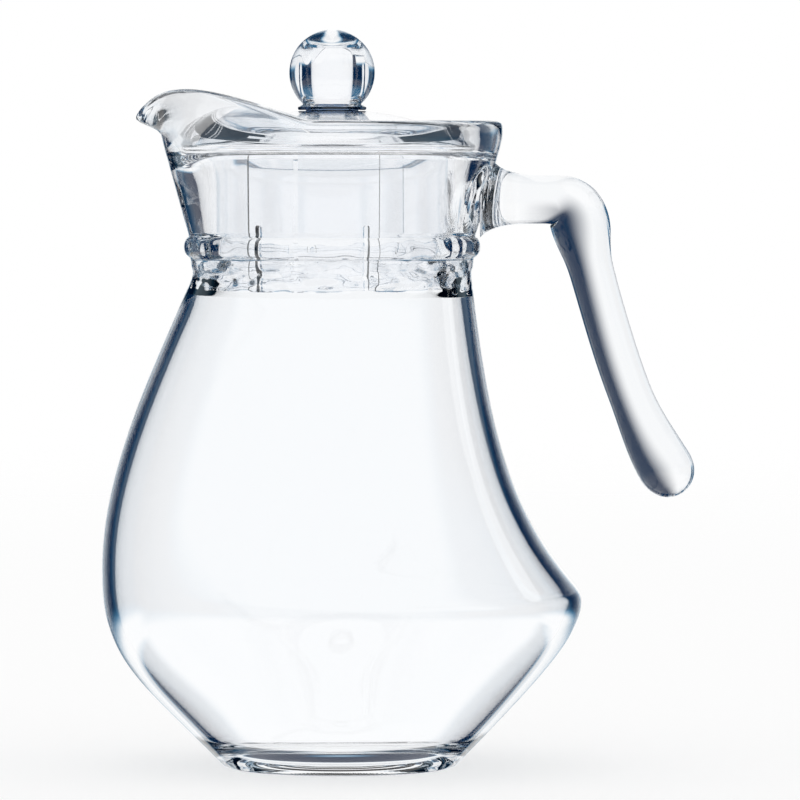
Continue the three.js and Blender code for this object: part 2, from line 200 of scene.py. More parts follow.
class JugBowlSettings(bpy.types.PropertyGroup):
    foot_radius: length("Foot radius", "Flat that the jug stands on", 0.035)
    foot_offset: length("Foot offset", "Centre of the foot behind the neck's axis", 0.0023)
    heel: length("Heel", "Small round between the foot and the bowl", 0.0013)
    belly_height: length("Belly height", "Height of the widest point on the spout side", 0.06)
    belly_reach: length("Belly reach", "Reach of the bowl on the spout side", 0.0701)
    tail_height: length("Tail height", "Height of the soft point on the handle side", 0.051)
    tail_reach: length("Tail reach", "Reach of the soft point on the handle side", 0.076)
    tail_above: length("Tail above", "Start of the tail's round above its point", 0.0038)
    tail_below: length("Tail below", "End of the tail's round below its point", 0.0072)
    wall: length("Wall", "Thickness of the bowl's wall", 0.004)
    floor: length("Floor", "Thickness of the glass under the water", 0.004)


class JugNeckSettings(bpy.types.PropertyGroup):
    throat_height: length("Throat height", "Where the neck leaves the bowl", 0.149)
    throat_radius: length("Throat radius", "Outside of the throat", 0.0423)
    throat_wall: length("Throat wall", "Thickness at the throat", 0.0036)
    throat_length: length("Throat length", "Plain stretch under the band", 0.0024)
    band_width: length("Band width", "Height of the flat band", 0.0034)
    band_relief: length("Band relief", "How far the band stands out", 0.0006)
    lump_scale: amount("Lump scale", "Lumps of the inner wall round the throat, per metre", 100.0)
    lump_depth: amount("Lump depth", "Lumps against the slow waves of the glass", 80.0)
    bead_width: length("Bead width", "Height of the raised bead", 0.0066)
    bead_relief: length("Bead relief", "How far the bead stands out", 0.0028)
    flare_length: length("Flare length", "Neck from the bead up to the lip", 0.0295)
    flare_step: length("Flare step", "Start of the flare outside the throat", 0.0013)
    lip_radius: length("Lip radius", "Outside of the plain lip", 0.0518)
    lip_height: length("Lip height", "Height of the plain lip", 0.0054)
    rim_wall: length("Rim wall", "Thickness of the plain rim", 0.0062)
    rim_round: length("Rim round", "Fire-polished round of the rim", 0.0014)
    ledge_depth: length("Ledge depth", "Lid's ledge below the rim", 0.0093)
    ledge_width: length("Ledge width", "Width of the lid's ledge", 0.0021)
    bore_draft: length("Bore draft", "Narrowing of the bore from the rim to the ledge", 0.0013)
    channel_depth: length("Channel depth", "Pouring channel cut into the ledge", 0.0015)
    channel_fall: length("Channel fall", "Slope of the pouring channel", 0.003)
    channel_floor: angle("Channel floor", "Half of the channel's full depth", 20)
    channel_edge: angle("Channel edge", "Half of the whole channel", 45)


class JugSpoutSettings(bpy.types.PropertyGroup):
    reach: length("Reach", "Spout's tip beyond the lip", 0.0079)
    rise: length("Rise", "Crests of the wings above the rim", 0.0094)
    dip: length("Dip", "Pouring edge below the crests", 0.0072)
    wall: length("Wall", "Thickness of the wings", 0.0032)
    crease: length("Crease", "Plain lip under the bill", 0.0024)
    wing: angle("Wing", "Where the wings leave the rim", 82)
    crest: angle("Crest", "Where the wings are highest", 30)
    bill: angle("Bill", "Spread of the tip", 17)
    notch: angle("Notch", "Spread of the pouring edge", 12.5)


class JugHandleSettings(bpy.types.PropertyGroup):
    arm_drop: length("Arm drop", "Middle of the arm below the rim", 0.0239)
    arm_length: length("Arm length", "Level arm from the neck to the bend", 0.0178)
    bend_pull: length("Bend pull", "How far the arm's line runs on into the bend", 0.0118)
    bend_rise: length("Bend rise", "How far the leg's line runs up into the bend", 0.0174)
    leg_reach: length("Leg reach", "Top of the leg", 0.0318)
    leg_drop: length("Leg drop", "Top of the leg below the arm", 0.0206)
    leg_lean: angle("Leg lean", "Top of the leg off the plumb line", 15.4)
    end_reach: length("End reach", "Middle of the rounded end", 0.0551)
    end_drop: length("End drop", "Rounded end below the arm", 0.0821)
    end_lean: angle("End lean", "Rounded end off the plumb line", 32)
    arm_thickness: length("Arm thickness", "Rod at the arm", 0.0148)
    bend_thickness: length("Bend thickness", "Rod at the bend", 0.0182)
    leg_thickness: length("Leg thickness", "Rod at the leg", 0.0134)
    end_thickness: length("End thickness", "Rod at its end", 0.017)
    depth: length("Depth", "Rod from side to side", 0.017)
    root_flare: length("Root flare", "Spread of the rod over the neck", 0.011)
    root_length: length("Root length", "Length of the spread root", 0.014)
    root_sink: length("Root sink", "How far the root is fused into the neck's wall", 0.002)


class JugLidSettings(bpy.types.PropertyGroup):
    skirt_clearance: length("Skirt clearance", "Gap between skirt and throat", 0.0012)
    skirt_wall: length("Skirt wall", "Thickness of the skirt", 0.0021)
    flange_clearance: length("Flange clearance", "Gap round the flange", 0.0008)
    flange_thickness: length("Flange thickness", "Edge of the flange", 0.0023)
    flange_round: length("Flange round", "Round of the flange's lower edge", 0.0006)
    seat_gap: length("Seat gap", "Gap under a seated piece", 0.0003)
    dome_rise: length("Dome rise", "Dome above the flange", 0.0102)
    dome_wall: length("Dome wall", "Thickness of the dome", 0.0024)
    slit_width: length("Slit width", "Width of a tongue's slit", 0.0016)
    slit_height: length("Slit height", "Height of a tongue's slit", 0.0211)
    slit_angle: angle("Slit angle", "Slit from the middle of its tongue", 25)
    panel_angle: angle("Panel angle", "Half of the thinned panel round a tongue", 31.5)
    panel_relief: length("Panel relief", "How much the panel is thinned", 0.0005)
    turn: angle("Turn", "How the lid stands in the neck", -9)


class JugKnobSettings(bpy.types.PropertyGroup):
    ball_radius: length("Ball radius", "Radius of the ball", 0.013)
    neck_radius: length("Neck radius", "Ball where it meets the collar", 0.0088)
    collar_radius: length("Collar radius", "Collar on the dome", 0.0104)
    collar_height: length("Collar height", "Height of the collar", 0.0018)
    collar_edge: length("Collar edge", "Upright edge of the collar", 0.0009)
    collar_margin: length("Collar margin", "Flat of the dome round the collar", 0.0004)
    bore_radius: length("Bore radius", "Cored bore of the ball", 0.0064)
    bore_rise: length("Bore rise", "End of the bore above the ball's centre", 0.0068)
    spigot_wall: length("Spigot wall", "Wall of the spigot", 0.0016)
    spigot_length: length("Spigot length", "Spigot below the collar", 0.0032)


class JugFinishSettings(bpy.types.PropertyGroup):
    round_sides: IntProperty(name="Round sides", description="Sides of a turned piece", default=96)
    glass: colour("Glass", "Tint of the glass", (0.985, 0.992, 1.0))
    plastic: colour("Plastic", "Tint of the clear plastic", (0.985, 0.99, 1.0))


class JugStageSettings(bpy.types.PropertyGroup):
    camera_distance: length("Camera distance", "Camera in front of the neck's axis", 1.97)
    camera_height: length("Camera height", "Camera above the floor", 0.187)
    aim_across: length("Aim across", "Middle of the picture, towards the handle", 0.0206)
    aim_height: length("Aim height", "Middle of the picture, above the floor", 0.1115)
    lens: amount("Lens", "Focal length in millimetres", 292.0)
    floor_radius: length("Floor radius", "Radius of the pale floor", 2.5)
    flag_depth: length("Flag depth", "Dark card behind the handle", 0.03)
    flag_lean: angle("Flag lean", "Lean of the card's edge along the handle's leg", 20.7)
    flag_edge: length("Flag edge", "Card's edge along the leg, from the neck's axis", 0.124)
    flag_rise: length("Flag rise", "Card's edge along the arm, above the floor", 0.1715)
    flag_soft: length("Flag soft", "Soft edge of the card", 0.0106)
    dark: colour("Dark", "Dark strips between the bright panels", (0.002, 0.016, 0.055))
    deep: colour("Deep light", "Dark side of the panels' soft edges", (0.05, 0.17, 0.3))
    half: colour("Half light", "Bright side of the panels' soft edges", (0.4, 0.54, 0.65))


def deselect_all():
    if bpy.context.mode != "OBJECT":
        bpy.ops.object.mode_set(mode="OBJECT")
    bpy.ops.object.select_all(action="DESELECT")


def only(piece):
    """Select one piece and make it active."""
    deselect_all()
    piece.select_set(True)
    bpy.context.view_layer.objects.active = piece


def apply_all(piece):
    only(piece)
    for modifier in list(piece.modifiers):
        bpy.ops.object.modifier_apply(modifier=modifier.name)


def open_mesh(piece):
    """Open a piece's mesh with everything in it selected."""
    bpy.ops.object.mode_set(mode="EDIT")
    bpy.ops.mesh.select_all(action="SELECT")
    return bmesh.from_edit_mesh(piece.data)


def close_mesh():
    """Turn every face outward and leave the mesh."""
    bpy.ops.mesh.select_all(action="SELECT")
    bpy.ops.mesh.normals_make_consistent(inside=False)
    bpy.ops.object.mode_set(mode="OBJECT")


def steps(start, end, count):
    """Evenly spaced values from one end to the other, both included."""
    return [start + (end - start) * i / count for i in range(count + 1)]


def mix(a, b, share):
    return a + (b - a) * share


def clamp(value):
    return min(max(value, 0.0), 1.0)


def smooth(value, low, high):
    share = clamp((value - low) / (high - low))
    return share * share * (3 - 2 * share)


def bearings(sides):
    return steps(0, 2 * math.pi, sides)[:-1]


def polar(radius, turn, height):
    return Vector((radius * math.cos(turn), radius * math.sin(turn), height))


def loft(name, rings, closed=False):
    """Extrude a circle from ring to ring, then close its ends or join the last to the first."""
    sides = len(rings[0])
    deselect_all()
    bpy.ops.mesh.primitive_circle_add(vertices=sides, radius=0.01)
    piece = bpy.context.object
    piece.name = name
    piece.data.name = name
    shell = open_mesh(piece)
    spoke = shell.verts.layers.int.new("spoke")
    shell.verts.ensure_lookup_table()
    for i in range(sides):
        shell.verts[i][spoke] = i
        shell.verts[i].co = rings[0][i]
    bmesh.update_edit_mesh(piece.data)
    for ring in rings[1:]:
        bpy.ops.mesh.extrude_region_move()
        shell = bmesh.from_edit_mesh(piece.data)
        spoke = shell.verts.layers.int["spoke"]
        for corner in shell.verts:
            if corner.select:
                corner.co = ring[corner[spoke]]
        bmesh.update_edit_mesh(piece.data)
    if closed:
        bpy.ops.mesh.select_all(action="SELECT")
        bpy.ops.mesh.remove_doubles(threshold=SAME_PLACE)
    else:
        bpy.ops.mesh.merge(type="CENTER")
        bpy.ops.mesh.select_all(action="DESELECT")
        bpy.ops.mesh.select_mode(type="VERT")
        bpy.ops.mesh.select_non_manifold()
        bpy.ops.mesh.merge(type="CENTER")
    close_mesh()
    piece.data.attributes.remove(piece.data.attributes["spoke"])
    return piece


def turned_ring(sides, radius, height):
    return [polar(radius, turn, height) for turn in bearings(sides)]


def held(profile):
    """The profile with points close to the ends of its long straights, which keep them straight."""
    points = [profile[0]]
    for first, second in zip(profile, profile[1:]):
        span = math.dist(first, second)
        if span > LONG_STRAIGHT * EDGE_HOLD:
            for share in (EDGE_HOLD / span, 1 - EDGE_HOLD / span):
                points.append((mix(first[0], second[0], share), mix(first[1], second[1], share)))
        points.append(second)
    return points


def turned_rings(sides, profile):
    return [turned_ring(sides, radius, height) for radius, height in profile]


def subdivide(piece, levels):
    modifier = piece.modifiers.new("Subdivision", "SUBSURF")
    modifier.levels = levels
    modifier.render_levels = levels
    apply_all(piece)


def boolean(piece, other, operation):
    """Join or cut a piece with another, which is used up."""
    modifier = piece.modifiers.new("Boolean", "BOOLEAN")
    modifier.operation = operation
    modifier.object = other
    modifier.solver = "EXACT"
    apply_all(piece)
    bpy.data.objects.remove(other, do_unlink=True)


def outline(*curves):
    """Reach of an outline drawn from the top down, at any height."""
    points = []
    for start, first, second, end in curves:
        corners = [Vector(corner) for corner in (start, first, second, end)]
        points += interpolate_bezier(*corners, CURVE_POINTS)

    def reach(height):
        if height >= points[0].y:
            return points[0].x
        for upper, lower in zip(points, points[1:]):
            if lower.y <= height:
                if upper.y == lower.y:
                    return lower.x
                return mix(upper.x, lower.x, (upper.y - height) / (upper.y - lower.y))
        return points[-1].x

    return reach


def pulled(start, pulls, end):
    """A curve from one point to another, pulled at both ends."""
    handles = [(mix(start[0], end[0], over), mix(start[1], end[1], down)) for over, down in pulls]
    return start, *handles, end


def bowl_outlines(bowl, neck):
    """Spout-side and handle-side outlines of the bowl."""
    throat = (neck.throat_radius, neck.throat_height)
    belly = (bowl.belly_reach, bowl.belly_height)
    heel_radius = bowl.foot_radius + bowl.heel
    front = outline(
        pulled(throat, SHOULDER_PULLS, belly),
        pulled(belly, BELLY_PULLS, (heel_radius - bowl.foot_offset, bowl.heel)),
    )
    face = bowl.tail_reach - TAIL_SHARPNESS
    point = Vector((bowl.tail_reach + TAIL_SHARPNESS, bowl.tail_height))
    high = Vector((face, bowl.tail_height + bowl.tail_above))
    low = Vector((face, bowl.tail_height - bowl.tail_below))
    back = outline(
        pulled(throat, BACK_PULLS, high),
        (high, high.lerp(point, TAIL_PULL), low.lerp(point, TAIL_PULL), low),
        pulled(low, TAIL_PULLS, (heel_radius + bowl.foot_offset, bowl.heel)),
    )
    return front, back


def bowl_ring(sides, outlines, height, depth):
    """A level circle between the outlines, moved square into the wall by a depth."""
    front, back = outlines
    small = 0.001

    def radius_at(z):
        return (back(z) + front(z)) / 2

    def centre_at(z):
        return (back(z) - front(z)) / 2

    radius = radius_at(height)
    centre = centre_at(height)
    radius_slope = (radius_at(height + small) - radius_at(height - small)) / (2 * small)
    centre_slope = (centre_at(height + small) - centre_at(height - small)) / (2 * small)
    ring = []
    for turn in bearings(sides):
        lean = radius_slope + centre_slope * math.cos(turn)
        inward = depth / math.hypot(1, lean)
        x = centre + (radius - inward) * math.cos(turn)
        y = (radius - inward) * math.sin(turn)
        ring.append(Vector((x, y, height + inward * lean)))
    return ring


class NeckLevels:
    """Heights and radii that the neck, the handle and the lid share."""

    def __init__(self, neck):
        self.band_bottom = neck.throat_height + neck.throat_length
        self.band_top = self.band_bottom + neck.band_width
        self.flare_bottom = self.band_top + neck.bead_width
        self.lip_bottom = self.flare_bottom + neck.flare_length
        self.rim = self.lip_bottom + neck.lip_height
        self.ledge = self.rim - neck.ledge_depth
        self.throat_bore = neck.throat_radius - neck.throat_wall
        self.ledge_outer = neck.lip_radius - neck.rim_wall - neck.bore_draft
        self.ledge_inner = self.ledge_outer - neck.ledge_width


def neck_outline(neck, levels):
    """Outside of the neck from the band to the foot of the lip."""
    band = neck.throat_radius + neck.band_relief
    middle = (levels.band_top + levels.flare_bottom) / 2
    bead = [
        (
            band + (neck.bead_relief - neck.band_relief) * math.cos(math.radians(degrees)),
            middle + neck.bead_width / 2 * math.sin(math.radians(degrees)),
        )
        for degrees in steps(-BEAD_DEGREES, BEAD_DEGREES, BEAD_STEPS)
    ]
    foot = neck.throat_radius + neck.flare_step
    flare = [
        (mix(foot, neck.lip_radius, share), mix(levels.flare_bottom, levels.lip_bottom, share))
        for share in steps(0, 1, FLARE_STEPS)
    ]
    edge = neck.band_width * BAND_EDGE
    return [
        (neck.throat_radius, levels.band_bottom - edge),
        (band, levels.band_bottom + edge),
        (band, levels.band_top - edge),
        *bead,
        *flare,
    ]


def neck_skin(neck, levels, height):
    """Outside of the flaring neck at a height."""
    share = (height - levels.flare_bottom) / neck.flare_length
    return mix(neck.throat_radius + neck.flare_step, neck.lip_radius, share)


def from_spout(turn):
    return abs(math.pi - turn)


def wing_share(turn, spout):
    share = (spout.wing - from_spout(turn)) / (spout.wing - spout.crest)
    return math.sin(math.pi / 2 * clamp(share))


def bump(turn, spread):
    return math.exp(-((from_spout(turn) / spread) ** 2))


def rim_ring(sides, neck, spout, levels, share, drop):
    """A ring along the rim, a share of its wall in from the edge and a drop below its top."""
    ring = []
    for turn in bearings(sides):
        wing = wing_share(turn, spout)
        wall = mix(neck.rim_wall, spout.wall, wing)
        radius = neck.lip_radius + spout.reach * bump(turn, spout.bill) - share * wall
        top = levels.rim + spout.rise * wing - spout.dip * bump(turn, spout.notch)
        ring.append(polar(radius, turn, top - drop))
    return ring


def ledge_ring(sides, neck, levels, radius, lift, depth, fall):
    """A ring along the lid's ledge, which gives way to the pouring channel under the spout."""
    ring = []
    for turn in bearings(sides):
        channel = 1 - smooth(from_spout(turn), neck.channel_floor, neck.channel_edge)
        height = levels.ledge + lift - fall * channel
        ring.append(polar(radius + depth * channel, turn, height))
    return ring


def vessel_rings(scene):
    """Every ring of the glass, from the foot up the outside and down the inside to the floor."""
    bowl = scene.jug_bowl
    neck = scene.jug_neck
    spout = scene.jug_spout
    sides = scene.jug_finish.round_sides
    levels = NeckLevels(neck)
    outlines = bowl_outlines(bowl, neck)
    tail_top = bowl.tail_height + bowl.tail_above
    tail_bottom = bowl.tail_height - bowl.tail_below
    under, round_tail, over = BOWL_RINGS
    heights = [
        *steps(bowl.heel, tail_bottom, under),
        *steps(tail_bottom, tail_top, round_tail)[1:],
        *steps(tail_top, neck.throat_height, over)[1:],
    ]
    offset = Vector((bowl.foot_offset, 0, 0))
    outside = [
        [point + offset for point in turned_ring(sides, bowl.foot_radius * share, 0)]
        for share in FOOT_SHARES
    ]
    outside += [bowl_ring(sides, outlines, height, 0) for height in heights]
    outside += turned_rings(sides, neck_outline(neck, levels))
    outside.append(turned_ring(sides, neck.lip_radius, levels.lip_bottom + spout.crease))
    rim = [
        rim_ring(sides, neck, spout, levels, share, rounds * neck.rim_round)
        for share, rounds in RIM_EDGE
    ]
    crisp = neck.ledge_width * LEDGE_EDGE
    # Radius and lift above the ledge, then the depth and the fall of the pouring channel there.
    bore = [
        (levels.ledge_outer + neck.bore_draft * 0.5, neck.ledge_depth * 0.4, neck.channel_depth, 0),
        (levels.ledge_outer + neck.bore_draft * 0.1, crisp, neck.channel_depth, 0),
        (levels.ledge_outer - crisp, 0, neck.channel_depth, 0),
        (levels.ledge_inner + crisp, 0, 0, neck.channel_fall),
        (levels.ledge_inner, -crisp, 0, neck.channel_fall),
    ]
    inside = [ledge_ring(sides, neck, levels, *place) for place in bore]
    for share in TAPER_SHARES:
        radius = mix(levels.ledge_inner, levels.throat_bore, share)
        inside.append(turned_ring(sides, radius, mix(levels.ledge, levels.flare_bottom, share)))
    for height in (levels.flare_bottom - crisp, levels.band_top, levels.band_bottom):
        inside.append(turned_ring(sides, levels.throat_bore, height))
    inner_heights = [height for height in heights[:-1] if height > 2 * bowl.floor]
    inside += [bowl_ring(sides, outlines, height, bowl.wall) for height in reversed(inner_heights)]
    lowest = inside[-1]
    middle = sum(lowest, Vector()) / sides
    for share in FLOOR_SHARES:
        height = mix(bowl.floor, middle.z, share**FLOOR_CURL)
        inside.append([Vector((*middle.lerp(point, share).xy, height)) for point in lowest])
    return outside + rim + inside


def handle_path(handle, neck, levels):
    """Middle line of the rod in the XZ plane, in three stretches, and the way its end points."""
    height = levels.rim - handle.arm_drop
    root = neck_skin(neck, levels, height)

    def place(reach, drop):
        return Vector((root + reach, height - drop))

    def fall(lean):
        return Vector((math.sin(lean), -math.cos(lean)))

    start = place(-handle.root_sink, 0)
    arm_end = place(handle.arm_length, 0)
    bend_pull = place(handle.arm_length + handle.bend_pull, 0)
    leg_top = place(handle.leg_reach, handle.leg_drop)
    end = place(handle.end_reach, handle.end_drop)
    leg_fall = fall(handle.leg_lean)
    end_fall = fall(handle.end_lean)
    leg_length = (end - leg_top).length
    top_pull = leg_top + leg_fall * LEG_PULLS[0] * leg_length
    end_pull = end - end_fall * LEG_PULLS[1] * leg_length
    bend_top = leg_top - leg_fall * handle.bend_rise
    arm = [start.lerp(arm_end, share**ROOT_CROWDING) for share in steps(0, 1, ARM_RINGS)]
    bend = interpolate_bezier(arm_end, bend_pull, bend_top, leg_top, BEND_RINGS)
    leg = interpolate_bezier(leg_top, top_pull, end_pull, end, LEG_RINGS)
    return arm, bend, leg, end_fall


def handle_rings(scene):
    """Rings of the rod from its root, which spreads over the neck, to its rounded end."""
    handle = scene.jug_handle
    neck = scene.jug_neck
    levels = NeckLevels(neck)
    arm, bend, leg, end_fall = handle_path(handle, neck, levels)
    middle = arm + bend[1:] + leg[1:]
    cap = handle.end_thickness / 2
    distances = [0.0]
    for before, after in zip(middle, middle[1:]):
        distances.append(distances[-1] + (after - before).length)
    arm_length = distances[len(arm) - 1]
    leg_start = distances[len(arm) + len(bend) - 2]
    total = distances[-1]
    slim_end = mix(leg_start, total, LEG_SLIM_END)
    swell_start = mix(leg_start, total, LEG_SWELL_START)
    stations = []
    for i, point in enumerate(middle):
        before = middle[max(i - 1, 0)]
        after = middle[min(i + 1, len(middle) - 1)]
        ahead = (after - before).normalized() if i + 1 < len(middle) else end_fall
        stations.append((point, ahead, distances[i], 1.0))
    for degrees in CAP_DEGREES:
        turn = math.radians(degrees)
        point = middle[-1] + end_fall * cap * math.sin(turn)
        stations.append((point, end_fall, total, math.cos(turn)))
    rings = []
    for point, ahead, distance, round_share in stations:
        slim = smooth(distance, arm_length, slim_end)
        swell = smooth(distance, swell_start, total)
        bend_share = clamp((distance - arm_length) / (leg_start - arm_length))
        rod = mix(handle.arm_thickness, handle.leg_thickness, slim)
        bulk = mix(rod, handle.bend_thickness, math.sin(math.pi * bend_share) ** 2)
        thickness = mix(bulk, handle.end_thickness, swell) * round_share
        depth = mix(handle.depth, handle.end_thickness, swell) * round_share
        ring = []
        for turn in bearings(ROD_SIDES):
            out = Vector((-ahead.y * math.cos(turn), -math.sin(turn), ahead.x * math.cos(turn)))
            spot = Vector((point.x, 0, point.y))
            spot += Vector((out.x * thickness, out.y * depth, out.z * thickness)) / 2
            gap = math.hypot(spot.x, spot.y) - neck_skin(neck, levels, spot.z)
            near = clamp(1 - gap / handle.root_length)
            ring.append(spot + out * handle.root_flare / 2 * (1 - math.sqrt(1 - near * near)))
        rings.append(ring)
    return rings


def dome_arc(centre, radius, start, end, count):
    """Points of a dome about the axis, between two radii."""
    return [
        (radius * math.sin(turn), centre + radius * math.cos(turn))
        for turn in steps(math.asin(start / radius), math.asin(end / radius), count)
    ]


class LidLevels:
    """Heights and radii of the lid, from the neck that it sits in."""

    def __init__(self, scene):
        lid = scene.jug_lid
        knob = scene.jug_knob
        levels = NeckLevels(scene.jug_neck)
        self.flange_bottom = levels.ledge + lid.seat_gap
        self.flange_radius = levels.ledge_outer - lid.flange_clearance
        self.flange_top = self.flange_bottom + lid.flange_thickness
        self.skirt_radius = min(levels.throat_bore, levels.ledge_inner) - lid.skirt_clearance
        self.skirt_bore = self.skirt_radius - lid.skirt_wall
        self.skirt_bottom = LID_FOOT
        rise = lid.dome_rise
        self.dome_radius = (self.flange_radius**2 + rise**2) / (2 * rise)
        self.dome_centre = self.flange_top + rise - self.dome_radius
        self.seat_radius = knob.collar_radius + knob.collar_margin
        self.seat_height = self.dome_centre + math.sqrt(self.dome_radius**2 - self.seat_radius**2)
        self.spigot_radius = knob.bore_radius + knob.spigot_wall
        self.hole_radius = self.spigot_radius + lid.seat_gap


def lid_profile(scene):
    """Closed section of the lid, up the outside and down the inside."""
    lid = scene.jug_lid
    at = LidLevels(scene)
    inner_dome = at.dome_radius - lid.dome_wall
    dome_foot = at.skirt_bore - 4 * LID_ROUND
    return [
        (at.skirt_radius, at.skirt_bottom + LID_ROUND),
        (at.skirt_radius, at.flange_bottom - LID_ROUND),
        (at.skirt_radius + LID_ROUND, at.flange_bottom),
        (at.flange_radius - lid.flange_round, at.flange_bottom),
        (at.flange_radius, at.flange_bottom + lid.flange_round),
        *dome_arc(
            at.dome_centre, at.dome_radius, at.flange_radius, at.seat_radius, OUTER_DOME_STEPS
        ),
        (at.hole_radius + LID_ROUND, at.seat_height),
        (at.hole_radius, at.seat_height - LID_ROUND),
        *dome_arc(at.dome_centre, inner_dome, at.hole_radius, dome_foot, INNER_DOME_STEPS),
        (at.skirt_bore, at.flange_top - LID_ROUND),
        (at.skirt_bore, at.skirt_bottom + LID_ROUND),
        (at.skirt_bore + LID_ROUND, at.skirt_bottom),
        (at.skirt_radius - LID_ROUND, at.skirt_bottom),
        (at.skirt_radius, at.skirt_bottom + LID_ROUND),
    ]


def slit_cutter(scene, turn):
    """A blade with a round top, across the skirt at an angle."""
    lid = scene.jug_lid
    at = LidLevels(scene)
    half = lid.slit_width / 2
    deselect_all()
    bpy.ops.mesh.primitive_cylinder_add(
        vertices=BLADE_SIDES, radius=half, depth=BLADE_REACH * lid.skirt_wall
    )
    blade = bpy.context.object
    shape = open_mesh(blade)
    middle = (at.skirt_radius + at.skirt_bore) / 2
    top = at.skirt_bottom + lid.slit_height - half
    for corner in shape.verts:
        across, up, out = corner.co.x, corner.co.y, corner.co.z
        if up < -half * 0.01:
            up = at.skirt_bottom - top - half
        reach = middle + out
        corner.co = (
            reach * math.cos(turn) - across * math.sin(turn),
            reach * math.sin(turn) + across * math.cos(turn),
            top + up,
        )
    bmesh.update_edit_mesh(blade.data)
    bpy.ops.mesh.remove_doubles(threshold=SAME_PLACE)
    close_mesh()
    return blade


def panel_cutter(scene, turn):
    """A curved block that thins the skirt round a tongue, from its lower edge up to the flange."""
    lid = scene.jug_lid
    at = LidLevels(scene)
    low = at.skirt_bottom - lid.seat_gap
    near, far = at.skirt_bore - lid.panel_relief, at.skirt_bore + lid.panel_relief
    corners = [(near, low), (far, low), (far, at.flange_bottom), (near, at.flange_bottom)]
    middle = (low + at.flange_bottom) / 2

    def section(bearing, size):
        return [
            polar(mix(at.skirt_bore, radius, size), bearing, mix(middle, level, size))
            for radius, level in corners
        ]

    start = turn - lid.panel_angle
    end = turn + lid.panel_angle
    sections = [section(bearing, 1) for bearing in steps(start, end, PANEL_STEPS)]
    return loft("panel", [section(start, PANEL_TIP), *sections, section(end, PANEL_TIP)])


def knob_profile(scene):
    """Section of the knob, from the end of its bore round to the top of the ball."""
    knob = scene.jug_knob
    lid = scene.jug_lid
    at = LidLevels(scene)
    bottom = at.seat_height + lid.seat_gap
    edge = bottom + knob.collar_edge
    top = bottom + knob.collar_height
    shoulder = mix(knob.collar_radius, knob.neck_radius, COLLAR_SHOULDER)
    spigot_bottom = bottom - knob.spigot_length
    centre = top + math.sqrt(knob.ball_radius**2 - knob.neck_radius**2)
    bore_end = centre + knob.bore_rise
    ball = [
        (knob.ball_radius * math.sin(turn), centre - knob.ball_radius * math.cos(turn))
        for turn in steps(math.asin(knob.neck_radius / knob.ball_radius), BALL_TOP, BALL_STEPS)
    ]
    return [
        (knob.bore_radius * POLE_SHARE, bore_end),
        (knob.bore_radius - 2 * KNOB_ROUND, bore_end),
        (knob.bore_radius, bore_end - 2 * KNOB_ROUND),
        (knob.bore_radius, spigot_bottom + KNOB_ROUND),
        (knob.bore_radius + KNOB_ROUND, spigot_bottom),
        (at.spigot_radius - KNOB_ROUND, spigot_bottom),
        (at.spigot_radius, spigot_bottom + KNOB_ROUND),
        (at.spigot_radius, bottom),
        (knob.collar_radius - KNOB_ROUND, bottom),
        (knob.collar_radius, bottom + KNOB_ROUND),
        (knob.collar_radius, edge),
        (shoulder, mix(edge, top, COLLAR_SHOULDER)),
        *ball,
    ]


def new_material(name):
    material = bpy.data.materials.new(name)
    material.use_nodes = True
    material.node_tree.nodes.clear()
    return material


def feed(tree, socket, value):
    """Link a socket to an input, or set the input to a plain value."""
    if isinstance(value, bpy.types.NodeSocket):
        tree.links.new(value, socket)
    else:
        socket.default_value = value


def add(tree, kind, inputs=None, **options):
    """Outputs of a new shader node. Its options are set, then its inputs by name or number."""
    node = tree.nodes.new("ShaderNode" + kind)
    for option, value in options.items():
        setattr(node, option, value)
    for key, value in (inputs or {}).items():
        feed(tree, node.inputs[key], value)
    return node.outputs


def calc(tree, operation, *values):
    """A sum on sockets and plain numbers."""
    return add(tree, "Math", dict(enumerate(values)), operation=operation)["Value"]


def times(tree, first, *others):
    for other in others:
        first = calc(tree, "MULTIPLY", first, other)
    return first


def most(tree, first, *others):
    for other in others:
        first = calc(tree, "MAXIMUM", first, other)
    return first


def ease(tree, value, low, high):
    """Soft step from 0 at one value to 1 at another."""
    ends = {"Value": value, "From Min": low, "From Max": high}
    return add(tree, "MapRange", ends, interpolation_type="SMOOTHSTEP")["Result"]


def blend(tree, share, first, second):
    """A value between two others."""
    return add(tree, "Mix", {"Factor": share, "A": first, "B": second})["Result"]


def choose(tree, share, first, second):
    """A shader between two others."""
    return add(tree, "MixShader", {"Fac": share, 1: first, 2: second})["Shader"]


def place_parts(tree, space):
    """X, Y and Z of the shaded place, or of a ray's direction in the world."""
    return add(tree, "SeparateXYZ", {"Vector": add(tree, "TexCoord")[space]})


def axis_reach(tree, parts):
    """Distance of a place from the neck's axis."""
    squares = [calc(tree, "POWER", parts[axis], 2.0) for axis in "XY"]
    return calc(tree, "SQRT", calc(tree, "ADD", *squares))


def new_group(name, inputs, outputs):
    """A node group for plain numbers, with what it is given and the sockets of its result."""
    group = bpy.data.node_groups.new(name, "ShaderNodeTree")
    for way, labels in (("INPUT", inputs), ("OUTPUT", outputs)):
        for label in labels:
            group.interface.new_socket(label, in_out=way, socket_type="NodeSocketFloat")
    given = group.nodes.new("NodeGroupInput").outputs
    result = group.nodes.new("NodeGroupOutput").inputs
    return group, given, result


